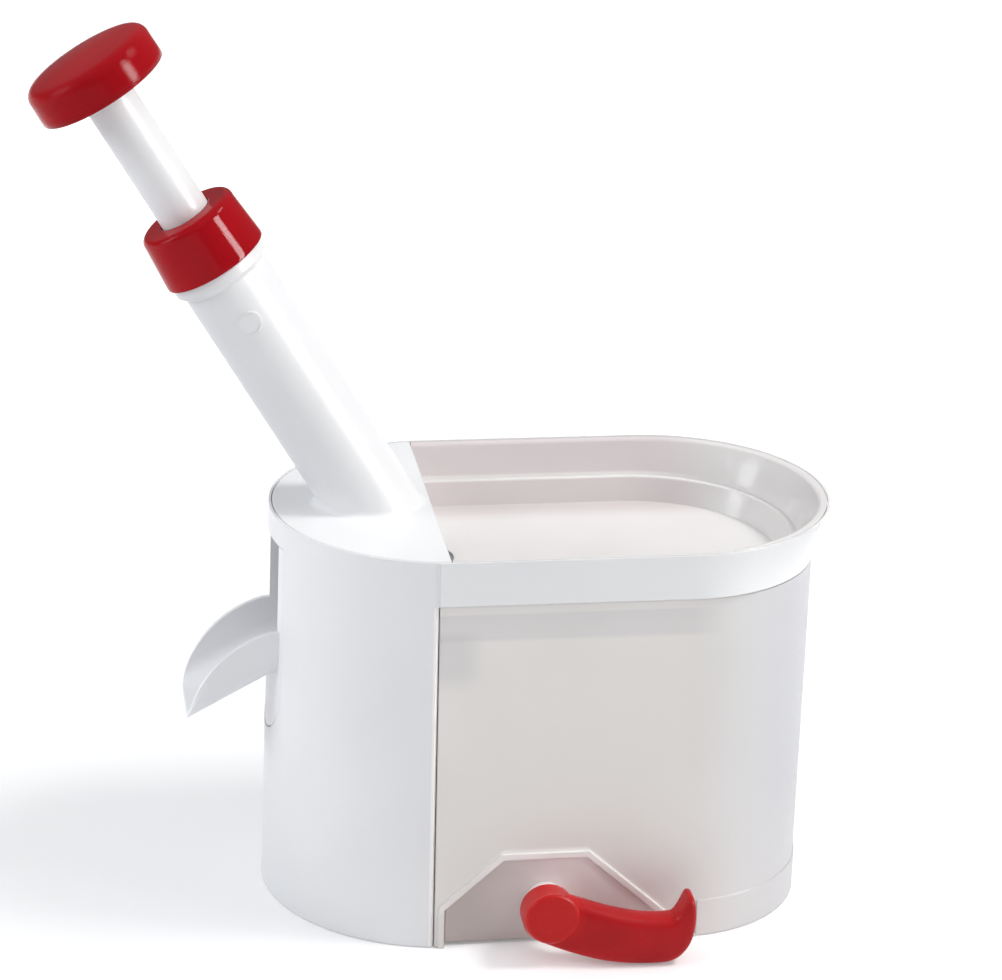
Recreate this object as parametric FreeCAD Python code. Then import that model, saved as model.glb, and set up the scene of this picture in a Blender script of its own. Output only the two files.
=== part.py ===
import FreeCAD, Part
import math
import os

from FreeCAD import Vector

# Cherry pitter with a leaning plunger, a hopper tray, an outlet chute, and a stone
# container that stands on a suction foot with a locking lever.
# Millimetres. X runs along the body to the stone container, +Y to the back, +Z up.
# The origin is the centre of the suction foot, on the worktop.

# Body outline, seen from above
tower_x = -29.0          # axis of the round tower end
rim_half = 58.0          # half width of the body at the rim
base_half = 60.0         # half width of the body on the worktop
rim_height = 137.0
rim_end_x = 103.0        # right end of the flared rim
band_height = 15.0       # skirt that hangs below the rim over the container
band_end_x = 95.4        # right end of the skirt's lower edge
band_corner = 48.3       # corner radius of that edge at the round end
divider_x = -37.0        # where the tower ends and the container begins
end_flat = 0.6           # short flat left at the middle of each round end
wall = 2.0
lip = 0.9                # rim lip left outside the seat of tray and cover
seat_depth = 1.5         # depth of that seat under the rim
edge_chamfer = 1.6       # bright bevel on the tower's two upright edges
floor_gap = 0.3          # clearance between pieces that only lie next to each other
fit_gap = 0.05           # radial clearance of a shaft in its bore
bite = 0.5               # how far pieces of one solid reach into each other
near = 0.05              # how closely an edge is told by its place
spare = 1.0              # how far a cutting shape runs past what it cuts
bulkhead_gap = 2.0       # from the tower's wall across its open side to the container
bulkhead_thickness = 2.0
bulkhead_rise = 4.0      # how far it stands above the container's low left wall
crossbar_thickness = 3.0     # bar across the tower that carries the chute's inner end
crossbar_height = 5.7
crossbar_set_in = 1.0
crossbar_drop = 1.0      # allows for the slope of the chute's underside across the bar

# Plunger axis
lean = 31.5              # degrees from upright, towards -X
axis_foot_x = -52.7      # where the axis meets the top of the cover

# Guide tube and what closes it, measured along the axis from the cover's top
tube_radius = 14.9
tube_bore = 12.3
tube_fillet = 2.0
tube_tail = 7.5          # length of tube below the cover's top
tail_radius = 14.4
tail_shelf = 1.4         # thickness of the shelf at the tail's end, and its width
tail_ledge = 1.6
collar_radius = 16.8
collar_height = 3.5
collar_cone = 2.0        # height of the cone below the collar
collar_length = 99.6
tube_length = 113.6
bush_length = 12.0
bush_flange = 1.6
nut_height = 18.5
nut_radius = 17.9
nut_taper = 1.4
nut_round = 2.4
lug_height = 2.0
lug_reach = 0.8
lug_half = 5.0
nut_lip = 1.0            # upright edge at the nut's foot
nut_hole_gap = 0.5       # from the shaft to the nut's hole
pad_radius = 4.0        # small round pad on the tube's front
pad_height = 0.5
pad_place = 80.2
pad_edge = 0.8
pad_dish = 0.3

# Plunger
shaft_radius = 8.5
knob_radius = 22.3
knob_height = 13.4
knob_side = 11.9         # height of the knob's side before its shoulder is rounded
knob_taper = 0.3
knob_shoulder = 3.8
knob_edge = 0.8
stroke = 47.6
stroke_spare = 1.0       # gap left under the knob when it is pressed home
piston_length = 13.0
rod_radius = 2.5
rod_grip = 16.0          # length of rod held inside the shaft
rod_stand_out = 3.5      # the raised rod's tip below the tube's lower end
rod_taper = 1.5          # length of the rod's tapered tip, and its end radius as a share
rod_tip_share = 0.55
rod_slit = 0.8
rod_slit_depth = 4.0
shaft_core = 6.0         # radius of the spigot that the knob is pushed onto
knob_gap = 0.2
piston_edge = 0.8
piston_land = 3.0        # length of the piston's two rings
knob_wall = 3.2
knob_core = 2.0
knob_roof = 2.0
wire_radius = 0.7
coils = 17
spring_radius = 8.6
stripper_thickness = 1.5
stripper_gap = 0.4       # from the rod to the hole of the plate, and of the washer
washer_gap = 1.0
washer_thickness = 0.8

# Cherry seat
seat_top = -40.0         # rim of the seat, along the axis
seat_depth_inside = 10.8
seat_radius = 13.0
seat_bowl = 11.0
seat_mouth = 5.5
seat_taper = 1.2         # how much the bowl narrows down to its bend, and the bend's depth
seat_bend = 4.5
gasket_thickness = 1.6
gasket_hole = 2.8
gasket_slits = 6
gasket_slit = 0.3
socket_wall = 2.6
socket_lip = 1.4
socket_shelf = 2.6       # width of the shelf that the gasket lies on

# Hopper tray
tray_wall = 1.4
tray_floor = 1.8
tray_overlap = 2.0       # how far the tray reaches past the divider, under the cover
tray_depth = 20.7
tray_ledge_depth = 12.6
tray_shoulder_inset = 6.6    # inner faces of the stepped sides, in from the rim's outline
tray_ledge_inset = 8.2
tray_floor_inset = 11.4
tray_ledge_end = 6.0     # the same at the round end, in from the skirt
tray_floor_end = 9.2
tray_lip_round = 1.6
gate_half = 14.0
gate_lintel = 6.0        # from the gate's upper edge to the rim
apron_thickness = 1.8
cover_thickness = 2.7
cover_overlap = 3.9      # how far the cover reaches over the tray

# Rails under the tray that carry the container's two top edges
rail_web = 1.6
rail_face = 53.8         # outer face of the rail's web, from the middle plane
rail_reach = 1.3
rail_depth = 21.4        # from the rim to the rail's underside
rail_lip = 1.8
rail_length = 70.0
rail_set_in = 1.0        # from the divider to the rail's left end

# Stone container
container_sink = 15.4    # from the rim to the container's upper edge
container_gap = 0.3      # from the divider to the container's left wall
container_inset_top = 1.2    # set back from the tower's face at the top
container_inset_base = 0.5
container_end_base = 93.8
container_end_top = 95.1
container_wall = 1.8
container_corner = 46.0
container_flange = 1.6
container_flange_sink = 3.6  # from that edge to the flange's underside
rail_gap = 0.5           # from the rails to the container's flange
left_wall_sink = 45.6    # from that edge to the low left wall
screw_boss = 3.4         # bosses on the container for the foot's screws
screw_boss_height = 6.0
screw_reach = -3.8       # end of the screw holes, from the arch's flat top

# Arch in the container's front and back wall, and the tunnel between them
arch_half_foot = 49.0    # half width of the arch where it would meet the worktop
arch_half_top = 14.0
arch_height = 31.0
arch_leg = 3.2           # the container's leg between the tower and the arch
arch_bead = 2.2          # width of the raised bead round the arch, and how far it stands out
arch_bead_height = 0.8
base_band_height = 13.0  # low band round the container's end
base_band_out = 0.4
base_band_start = 52.0

# Suction foot
foot_gap = 0.4
foot_wall = 2.4
foot_set_back = 1.8      # from the body's foot to the foot housing's front
foot_clear = 1.0         # height of the foot housing's lower edge above the worktop
cup_radius = 31.0
cup_thickness = 2.4
cup_height = 7.0
cup_rim = 5.0
stem_radius = 4.5
stem_guide_wall = 2.2
crank_z = 15.5           # height of the lever's axis
lever_shaft_radius = 3.0
crank_throw = 1.5
crank_pin_radius = 2.6
crank_width = 8.0
eye_half_width = 7.0
eye_top = 22.2
guide_foot = 22.8
crank_gap = 0.4          # from the crank's cheeks and pin to the stem's eye
crank_play = 0.8         # room above and below the pin, for the crank's uneven lift
cheek_thickness = 1.6
neck_radius = 2.5
stem_collar = 2.0
plate_thickness = 2.6
cup_edge = 1.2
cup_shoulder = 6.0       # width and height of the cup's thin outer slope
cup_shoulder_z = 4.2
cup_bond = 4.0           # flat at the cup's crown, out from the stem
cup_lip = 1.6
clip_y = 18.6            # groove for the shaft's clip, behind the rear bearing
clip_thickness = 1.2
clip_depth = 0.6
clip_reach = 2.2
clip_mouth_share = 0.67
bearing_radius = 6.5
bearing_half = 7.0
bearing_y = 16.0         # the two bearings of the lever's shaft, either side of the stem
bearing_depth = 4.0

# Lever
lever_boss_radius = 9.4
lever_stand_out = 4.0    # from the body's foot to the back of the lever's boss
lever_boss_depth = 7.0
lever_arm_depth = 10.0
lever_height = 15.0
lever_droop = 14.8
lever_reach = 48.6
lever_round = 0.6
lever_socket = 2.0       # how far the shaft's end stays behind the arm's inner face
lever_bar_top = 32.7     # lengths of the bar's straight edges, above and below
lever_bar_low = 21.6
lever_hook = 6.5         # lowest point of the hollow before the tip, from the lever's end
lever_hollow_z = -1.2    # heights from the lever's axis
lever_tip = 3.0
lever_tip_z = 7.0
lever_belly_z = -2.5
lever_heel = 8.0
lever_clear = 0.6        # from the lever's heel to the worktop
boss_round = 1.2

# Outlet chute
slot_half = 19.0
slot_bottom = 57.5
slot_lintel = 9.0
chute_half = 17.0
chute_wall = 2.0
chute_inner_x = -46.5
chute_inner_z = 91.5     # underside of the trough at its inner end
chute_slot_z = 80.2      # underside where it passes the tower wall
chute_tip_x = -115.5
chute_tip_z = 65.0
chute_bend = 8.0         # corner radius between the trough's floor and sides
chute_nose = 4.0        # corner radius of its nose, seen from above
chute_rim_z = 97.2
chute_bulge_x = -105.0
chute_bulge_z = 86.9
chute_tip_rise = 1.2     # height of the rim above the underside at the tip
chute_rim_rise = 3.0     # how much the rim rises towards the inner end
panel_set_in = 0.2       # from the tower's face to the panel in the slot
panel_gap = 0.4
flange_gap = 0.25        # from the tower's inner face to the flange behind it
flange_depth = 1.8
flange_reach = 3.0

# Fasteners
screw_radius = 1.5
screw_head = 2.8
screw_head_height = 1.8
screw_seat = 13.5        # height of the seats of the foot's screws
screw_slot_half = 1.5
screw_slot_width = 0.3
screw_slot_depth = 0.95
post_radius = 4.6
post_foot = 12.0
foot_screw_x = 24.0
foot_screw_inset = 18.2  # from the foot housing's front and back
pin_radius = 1.2

axis_foot = Vector(axis_foot_x, 0, rim_height)
band_z = rim_height - band_height
tray_floor_z = rim_height - tray_depth
tray_ledge_z = rim_height - tray_ledge_depth
gate_top = rim_height - gate_lintel
rail_bottom = rim_height - rail_depth
container_top = rim_height - container_sink
container_flange_z = container_top - container_flange_sink
left_wall_top = container_top - left_wall_sink
slot_top = rim_height - slot_lintel
cover_end_x = divider_x + cover_overlap
container_left = divider_x + container_gap
arch_left = container_left + arch_leg
rim_length = rim_end_x - tower_x + rim_half
foot_half = base_half - foot_set_back
foot_screw_y = foot_half - foot_screw_inset
lever_boss_back = base_half + lever_stand_out
lever_split = lever_boss_back + lever_boss_depth
lever_front = lever_split + lever_arm_depth
tray_rim_inset = wall + floor_gap + tray_wall
knob_foot = collar_length + nut_height + 0.3 + stroke + stroke_spare


def half_at(z, inset=0.0):
    return base_half + (rim_half - base_half) * z / rim_height - inset


def skirt_end(z):
    # The right end flares outwards in a hollow curve from the skirt's edge to the rim.
    share = (z - band_z) / band_height
    return band_end_x + (rim_end_x - band_end_x) * share ** 1.7


def skirt_corner(z):
    # The skirt follows the container's plan at its lower edge and the rim's at the top.
    share = (z - band_z) / band_height
    return band_corner + (round_radius(rim_half) - band_corner) * share


def arc(a, through, b):
    return Part.Arc(a, through, b).toShape()


def outline(x0, x1, half, z, r0=0.0, r1=0.0):
    """Closed plan outline, with corner radius r0 at the left end and r1 at the right end."""
    turn = 1 - math.sqrt(0.5)
    edges = [Part.LineSegment(Vector(x0 + r0, -half, z), Vector(x1 - r1, -half, z)).toShape()]
    if r1:
        edges.append(arc(Vector(x1 - r1, -half, z), Vector(x1 - r1 * turn, -half + r1 * turn, z),
                         Vector(x1, -half + r1, z)))
    edges.append(Part.LineSegment(Vector(x1, -half + r1, z), Vector(x1, half - r1, z)).toShape())
    if r1:
        edges.append(arc(Vector(x1, half - r1, z), Vector(x1 - r1 * turn, half - r1 * turn, z),
                         Vector(x1 - r1, half, z)))
    edges.append(Part.LineSegment(Vector(x1 - r1, half, z), Vector(x0 + r0, half, z)).toShape())
    if r0:
        edges.append(arc(Vector(x0 + r0, half, z), Vector(x0 + r0 * turn, half - r0 * turn, z),
                         Vector(x0, half - r0, z)))
    edges.append(Part.LineSegment(Vector(x0, half - r0, z), Vector(x0, -half + r0, z)).toShape())
    if r0:
        edges.append(arc(Vector(x0, -half + r0, z), Vector(x0 + r0 * turn, -half + r0 * turn, z),
                         Vector(x0 + r0, -half, z)))
    return Part.Wire(edges)


def round_radius(half):
    return half - end_flat / 2


def loft(wires, ruled=True):
    return Part.makeLoft(wires, True, ruled)


def prism(wire, vector):
    return Part.Face(wire).extrude(vector)


def box(x0, x1, y0, y1, z0, z1):
    return Part.makeBox(x1 - x0, y1 - y0, z1 - z0, Vector(x0, y0, z0))


def polygon(points):
    return Part.makePolygon(list(points) + [points[0]])


def plate_xz(points, y0, y1):
    """Closed X-Z polygon pushed from y0 to y1."""
    return prism(polygon([Vector(x, y0, z) for x, z in points]), Vector(0, y1 - y0, 0))


def cylinder(radius, z0, z1):
    return Part.makeCylinder(radius, z1 - z0, Vector(0, 0, z0))


def ring(outer, inner, z0, z1):
    return cylinder(outer, z0, z1).cut(cylinder(inner, z0 - 1, z1 + 1))


def turned(points):
    """Solid of revolution about Z from a closed (radius, height) profile."""
    wire = polygon([Vector(r, 0, z) for r, z in points])
    return Part.Face(wire).revolve(Vector(0, 0, 0), Vector(0, 0, 1), 360)


def on_axis(shape):
    """Moves a shape made along +Z at the origin to the leaning plunger axis."""
    moved = shape.copy()
    moved.rotate(Vector(0, 0, 0), Vector(0, 1, 0), -lean)
    moved.translate(axis_foot)
    return moved


def along_y(shape, x, y, z):
    """Turns a shape made along +Z so that it runs towards +Y from (x, y, z)."""
    moved = shape.copy()
    moved.rotate(Vector(0, 0, 0), Vector(1, 0, 0), -90)
    moved.translate(Vector(x, y, z))
    return moved


def tower_block(z0, z1, inset, x1):
    wires = []
    for z in (z0, z1):
        half = half_at(z, inset)
        wires.append(outline(tower_x - half, tower_x + base_half, half, z, r0=round_radius(half)))
    return loft(wires).common(box(tower_x - base_half - 1, x1, -base_half - 1, base_half + 1,
                                  z0 - 1, z1 + 1))


def skirt_block(inset, sections=4):
    wires = []
    for i in range(sections):
        z = band_z + band_height * i / (sections - 1)
        half = half_at(z, inset)
        corner = skirt_corner(z) - inset
        wires.append(outline(divider_x, skirt_end(z) - inset, half, z, r1=corner))
    return loft(wires, ruled=False)


def rim_prism(inset, z0, z1, x0, x1=None):
    """Upright prism of the rim's outline, drawn in by inset, between x0 and x1."""
    half = rim_half - inset
    radius = round_radius(half)
    whole = prism(outline(tower_x - half, rim_end_x - inset, half, z0, radius, radius),
                  Vector(0, 0, z1 - z0))
    end = rim_end_x + 1 if x1 is None else x1
    return whole.common(box(x0, end, -rim_half - 1, rim_half + 1, z0 - 1, z1 + 1))


def slot_prism(grow):
    """Solid that fills the round-bottomed slot in the tower's outer side, grown by grow."""
    half = slot_half + grow
    low = slot_bottom + slot_half
    left = tower_x - base_half - spare
    length = base_half / 2
    shape = box(left, left + length, -half, half, low, slot_top + grow)
    bottom = cylinder(half, 0, length)
    bottom.rotate(Vector(0, 0, 0), Vector(0, 1, 0), 90)
    bottom.translate(Vector(left, 0, low))
    return shape.fuse(bottom)


def make_housing():
    tower = tower_block(0, rim_height, 0, divider_x)
    tower = tower.cut(tower_block(0, rim_height, wall, divider_x))
    skirt = skirt_block(0).cut(skirt_block(wall))
    inner = half_at(0, wall - bite)
    bulkhead_x = divider_x - bulkhead_gap
    bulkhead = box(bulkhead_x - bulkhead_thickness, bulkhead_x, -inner, inner,
                   0, left_wall_top + bulkhead_rise)
    bar_top = chute_inner_z - floor_gap - crossbar_drop
    crossbar = box(chute_inner_x - crossbar_set_in - crossbar_thickness,
                   chute_inner_x - crossbar_set_in, -inner, inner, bar_top - crossbar_height, bar_top)
    inside = tower_block(0, rim_height, wall - bite, divider_x)
    housing = tower.fuse([skirt, bulkhead.common(inside), crossbar.common(inside)])
    housing = housing.cut(rim_prism(lip, rim_height - seat_depth, rim_height + spare,
                                    tower_x - rim_half - spare))
    housing = housing.cut(slot_prism(0))
    for side in (-1, 1):
        housing = housing.cut(loft([bevel_wire(side, 0), bevel_wire(side, band_z - floor_gap)]))
    return housing.removeSplitter()


def bevel_wire(side, z):
    """Triangle that takes the corner off the tower's upright edge, at one height."""
    edge = side * half_at(z)
    past = side * 2 * edge_chamfer
    return polygon([Vector(divider_x, edge + past, z),
                    Vector(divider_x, edge - side * edge_chamfer, z),
                    Vector(divider_x - 3 * edge_chamfer, edge + past, z)])


def tray_section(z, side_inset, end_x, x0):
    half = rim_half - side_inset
    return outline(x0, end_x, half, z, r1=round_radius(half))


def tray_body(grow, floor_drop, x0, sections=4):
    """Stepped hollow of the tray; grow and floor_drop make its outer skin."""
    low = tray_ledge_z - floor_drop
    upper = []
    for i in range(sections):
        share = i / (sections - 1)
        z = rim_height + (low - rim_height) * share
        side = tray_rim_inset + (tray_shoulder_inset - tray_rim_inset) * share
        upper.append(tray_section(z, side - grow, skirt_end(z) - tray_rim_inset + grow, x0))
    ledge_end = skirt_end(tray_ledge_z) - tray_ledge_end + grow
    floor_end = skirt_end(tray_ledge_z) - tray_floor_end + grow
    lower = [tray_section(tray_ledge_z, tray_ledge_inset - grow, ledge_end, x0),
             tray_section(tray_floor_z - floor_drop, tray_floor_inset - grow, floor_end, x0)]
    return loft(upper, ruled=False).fuse(loft(lower))


def seat_socket():
    """Leaning ring that holds the cherry seat, with a half collar up to the tray floor."""
    outer = seat_radius + socket_wall
    bottom = seat_top - seat_depth_inside - gasket_thickness - socket_lip
    collar = cylinder(outer, bottom, seat_top)
    back = cylinder(outer, seat_top - bite, 0).common(box(0, outer, -outer, outer, seat_top - bite, 0))
    socket = on_axis(collar.fuse(back))
    return socket.common(box(-rim_length, rim_length, -outer, outer, 0, tray_floor_z))


def socket_bore():
    bottom = seat_top - seat_depth_inside - gasket_thickness
    wide = cylinder(seat_radius + 2 * fit_gap, bottom, seat_radius)
    narrow = cylinder(seat_radius - socket_shelf, bottom - socket_lip - spare, bottom + spare)
    bore = on_axis(wide.fuse(narrow))
    return bore.common(box(-rim_length, rim_length, -rim_half, rim_half, 0, tray_floor_z + bite))


def make_tray():
    left = divider_x - tray_overlap
    tray = tray_body(tray_wall, tray_floor, left)
    flange = rim_prism(lip + floor_gap, rim_height - seat_depth, rim_height, left)
    tray = tray.fuse(flange).cut(tray_body(0, 0, left - spare))
    tray = tray.makeFillet(tray_lip_round, [e for e in tray.Edges if is_tray_lip(e)])
    tray = tray.fuse(seat_socket()).cut(socket_bore())
    cover_room = box(left - spare, cover_end_x + floor_gap, -rim_half, rim_half,
                     rim_height - cover_thickness - floor_gap, rim_height + spare)
    tray = tray.cut(cover_room)
    start = divider_x + rail_set_in
    inner = rail_face - rail_web
    web = box(start, start + rail_length, inner, rail_face, rail_bottom, tray_ledge_z)
    foot = box(start, start + rail_length, inner, rail_face + rail_reach, rail_bottom,
               rail_bottom + rail_lip)
    rail = web.fuse(foot).cut(tray_body(tray_wall - bite, tray_wall - bite, left - spare))
    return tray.fuse([rail, rail.mirror(Vector(0, 0, 0), Vector(0, 1, 0))]).removeSplitter()


def is_tray_lip(edge):
    """True for the tray's inner edges at the rim."""
    box_of = edge.BoundBox
    reach_y = max(abs(box_of.YMin), abs(box_of.YMax))
    inside = reach_y < rim_half - tray_rim_inset + near
    inside = inside and box_of.XMax < rim_end_x - tray_rim_inset + near
    return inside and box_of.ZMin > rim_height - near and box_of.XMax > divider_x


def make_cover():
    right = cover_end_x
    left = tower_x - rim_half
    top = rim_prism(lip + floor_gap, rim_height - seat_depth, rim_height, left, right)
    under = rim_prism(wall + floor_gap, rim_height - cover_thickness, rim_height - seat_depth,
                      left, right)
    half = rim_half - floor_gap
    levels = [(rim_height - seat_depth, half - tray_rim_inset),
              (tray_ledge_z + floor_gap, half - tray_shoulder_inset),
              (tray_ledge_z + floor_gap, half - tray_ledge_inset),
              (tray_floor_z + floor_gap, half - tray_floor_inset)]
    points = [Vector(right - apron_thickness, -y, z) for z, y in levels]
    points += [Vector(right - apron_thickness, y, z) for z, y in reversed(levels)]
    apron = prism(polygon(points), Vector(apron_thickness, 0, 0))
    gate = box(right - apron_thickness - spare, right + spare, -gate_half, gate_half,
               tray_floor_z - spare, gate_top)
    cover = top.fuse([under, apron.cut(gate)])
    above = box(-rim_length, rim_length, -rim_half, rim_half, rim_height - bite, rim_height + tube_length)
    cover = cover.fuse(on_axis(cylinder(tube_radius, -tube_radius, collar_length)).common(above))
    cover = cover.makeFillet(tube_fillet, [e for e in cover.Edges if is_tube_foot(e)])
    collar = cylinder(collar_radius, collar_length - collar_height, collar_length)
    collar = collar.fuse(Part.makeCone(tube_radius, collar_radius, collar_cone,
                                       Vector(0, 0, collar_length - collar_height - collar_cone)))
    spigot = cylinder(tube_radius, collar_length, tube_length)
    tail = cylinder(tail_radius, -tube_tail, 0)
    cover = cover.fuse([on_axis(collar), on_axis(spigot), on_axis(tail), on_axis(bayonet_lugs()),
                        on_axis(tube_pad())])
    bore = cylinder(tube_bore, tail_shelf - tube_tail, tube_length + spare)
    exit_hole = cylinder(tube_bore - tail_ledge, -tube_tail - spare, 0)
    return cover.cut([on_axis(bore), on_axis(exit_hole)]).removeSplitter()


def is_tube_foot(edge):
    """True for the edge where the leaning tube's outside meets the cover's top."""
    box_of = edge.BoundBox
    flat = box_of.ZLength < near and abs(box_of.ZMax - rim_height) < near
    return flat and abs(box_of.YLength - 2 * tube_radius) < bite and box_of.XMax < cover_end_x - near


def bayonet_lugs():
    low = (collar_length + tube_length) / 2
    lugs = ring(tube_radius + lug_reach, tube_radius - bite, low, low + lug_height)
    reach = tube_radius + lug_reach
    return lugs.common(box(-reach, reach, -lug_half, lug_half, low, low + lug_height))


def make_ring_nut():
    low = collar_length + floor_gap
    top = collar_length + nut_height + floor_gap
    bore = tube_radius + fit_gap
    bush_room = tube_length + bush_flange + floor_gap
    shaft_hole = shaft_radius + nut_hole_gap
    groove = (collar_length + tube_length) / 2
    body = turned([(shaft_hole, low), (nut_radius, low), (nut_radius, low + nut_lip),
                   (nut_radius - nut_taper, top), (shaft_hole, top)])
    top_edge = [e for e in body.Edges if e.BoundBox.ZMin > top - near
                and e.BoundBox.XLength > 2 * shaft_hole + spare]
    body = body.makeFillet(nut_round, top_edge)
    body = body.cut(cylinder(bore, low - spare, bush_room))
    body = body.cut(cylinder(tube_radius + lug_reach + floor_gap, groove - floor_gap,
                             groove + lug_height + floor_gap))
    return on_axis(body)


def make_guide_bush():
    low = tube_length - bush_length
    sleeve = ring(tube_bore - fit_gap, shaft_radius + fit_gap, low, tube_length)
    flange = ring(tube_radius - floor_gap, shaft_radius + fit_gap, tube_length, tube_length + bush_flange)
    return on_axis(sleeve.fuse(flange))


def tube_pad():
    """Low round pad on the tube's front, with a shallow dish in it."""
    pad = along_y(cylinder(pad_radius, 0, tube_radius), 0, -tube_radius - pad_height, pad_place)
    dish = along_y(cylinder(pad_radius - pad_edge, 0, pad_dish), 0, -tube_radius - pad_height,
                   pad_place)
    return pad.cut(dish).common(cylinder(tube_radius + pad_height, 0, tube_length))


def plunger_levels():
    """Heights along the axis of the piston's top, its underside and the rod's tip."""
    piston_top = tube_length - bush_length - floor_gap
    return piston_top, piston_top - piston_length, -tube_tail - rod_stand_out


def make_shaft():
    piston_top, piston_low, _ = plunger_levels()
    shaft = cylinder(shaft_radius, piston_low, knob_foot - knob_gap)
    piston = cylinder(tube_bore - fit_gap, piston_low, piston_top)
    piston = piston.makeChamfer(piston_edge, [e for e in piston.Edges if e.BoundBox.XLength > tube_bore])
    waist = ring(tube_bore + spare, shaft_radius, piston_low + piston_land, piston_top - piston_land)
    spigot = cylinder(shaft_core, knob_foot - knob_gap, knob_foot + knob_side - knob_roof)
    shaft = shaft.fuse([piston.cut(waist), spigot])
    shaft = shaft.cut(cylinder(rod_radius + fit_gap, piston_low - spare, piston_low + rod_grip))
    return on_axis(shaft.cut(cross_pin(fit_gap, tube_bore)))


def cross_pin(grow, half_length):
    _, piston_low, _ = plunger_levels()
    pin = cylinder(pin_radius + grow, -half_length, half_length)
    return along_y(pin, 0, 0, piston_low + rod_grip / 2)


def make_knob():
    """Hollow red knob: upright side, rounded shoulder and a nearly flat top."""
    dome_top = knob_foot + knob_height
    upper = knob_radius - knob_taper
    side_top = knob_foot + knob_side
    rise = dome_top - side_top
    crown_radius = (upper ** 2 + rise ** 2) / (2 * rise)
    middle = math.asin(upper / crown_radius) / 2
    crown = arc(Vector(upper, 0, side_top),
                Vector(crown_radius * math.sin(middle), 0,
                       dome_top - crown_radius * (1 - math.cos(middle))),
                Vector(0, 0, dome_top))
    foot = Vector(knob_radius, 0, knob_foot)
    edges = [Part.LineSegment(Vector(0, 0, knob_foot), foot).toShape(),
             Part.LineSegment(foot, Vector(upper, 0, side_top)).toShape(), crown,
             Part.LineSegment(Vector(0, 0, dome_top), Vector(0, 0, knob_foot)).toShape()]
    knob = Part.Face(Part.Wire(edges)).revolve(Vector(0, 0, 0), Vector(0, 0, 1), 360)
    shoulder = [e for e in knob.Edges if abs(e.BoundBox.ZMax - side_top) < near
                and e.BoundBox.ZLength < near]
    knob = knob.makeFillet(knob_shoulder, shoulder)
    rim_edge = [e for e in knob.Edges if abs(e.BoundBox.ZMax - knob_foot) < near
                and e.BoundBox.XLength > knob_radius]
    knob = knob.makeFillet(knob_edge, rim_edge)
    hollow = ring(knob_radius - knob_wall, shaft_radius + knob_core, knob_foot - spare,
                  knob_foot + knob_side - knob_roof)
    socket = cylinder(shaft_core + fit_gap, knob_foot - spare,
                      knob_foot + knob_side - knob_roof + floor_gap)
    return on_axis(knob.cut(hollow).cut(socket))


def make_rod():
    _, piston_low, tip = plunger_levels()
    rod = cylinder(rod_radius, tip + rod_taper, piston_low + rod_grip - floor_gap)
    rod = rod.fuse(Part.makeCone(rod_radius * rod_tip_share, rod_radius, rod_taper, Vector(0, 0, tip)))
    reach = rod_radius + spare
    for turn in (0, 90):
        slit = box(-reach, reach, -rod_slit / 2, rod_slit / 2, tip - spare, tip + rod_slit_depth)
        slit.rotate(Vector(0, 0, 0), Vector(0, 0, 1), turn)
        rod = rod.cut(slit)
    return on_axis(rod.cut(cross_pin(fit_gap, reach)))


def make_cross_pin():
    return on_axis(cross_pin(0, shaft_radius - floor_gap))


def spring_path(radius, low, high, turns, steps_per_turn=4):
    """Helix as a chain of arcs, each through three points of the true helix."""
    def point(t):
        angle = 2 * math.pi * t
        return Vector(radius * math.cos(angle), radius * math.sin(angle),
                      low + (high - low) * t / turns)
    steps = turns * steps_per_turn
    edges = []
    for i in range(steps):
        a, b = i / steps_per_turn, (i + 1) / steps_per_turn
        edges.append(arc(point(a), point((a + b) / 2), point(b)))
    return Part.Wire(edges), point


def make_spring():
    _, piston_low, _ = plunger_levels()
    low = spring_foot() + floor_gap + wire_radius
    high = piston_low - floor_gap - wire_radius
    path, point = spring_path(spring_radius, low, high, coils)
    start, after = point(0), point(0.001)
    profile = Part.Wire(Part.makeCircle(wire_radius, start, after - start))
    shell = Part.BRepOffsetAPI.MakePipeShell(path)
    shell.add(profile)
    shell.build()
    shell.makeSolid()
    pitch = (high - low) / coils
    print("spring: pitch", round(pitch, 2), "mm, gap between coils",
          round(pitch - 2 * wire_radius, 2), "mm")
    return on_axis(shell.shape())


def stripper_foot():
    return tail_shelf - tube_tail + fit_gap


def washer_foot():
    return stripper_foot() + stripper_thickness + fit_gap


def spring_foot():
    return washer_foot() + washer_thickness


def make_stripper():
    low = stripper_foot()
    return on_axis(ring(tube_bore - 2 * fit_gap, rod_radius + stripper_gap, low,
                        low + stripper_thickness))


def make_spring_washer():
    low = washer_foot()
    return on_axis(ring(tube_bore - floor_gap, rod_radius + washer_gap, low, low + washer_thickness))


def make_seat():
    bottom = seat_top - seat_depth_inside
    cup = turned([(seat_mouth, bottom), (seat_radius, bottom), (seat_radius, seat_top),
                  (seat_bowl, seat_top), (seat_bowl - seat_taper, seat_top - seat_bend)])
    return on_axis(cup)


def make_gasket():
    top = seat_top - seat_depth_inside - fit_gap
    low = top + 2 * fit_gap - gasket_thickness
    disc = ring(seat_radius - 2 * fit_gap, gasket_hole, low, top)
    for i in range(gasket_slits):
        slit = box(0, seat_mouth - gasket_slit, -gasket_slit / 2, gasket_slit / 2, low - spare,
                   top + spare)
        slit.rotate(Vector(0, 0, 0), Vector(0, 0, 1), 360 * i / gasket_slits)
        disc = disc.cut(slit)
    return on_axis(disc)


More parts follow.
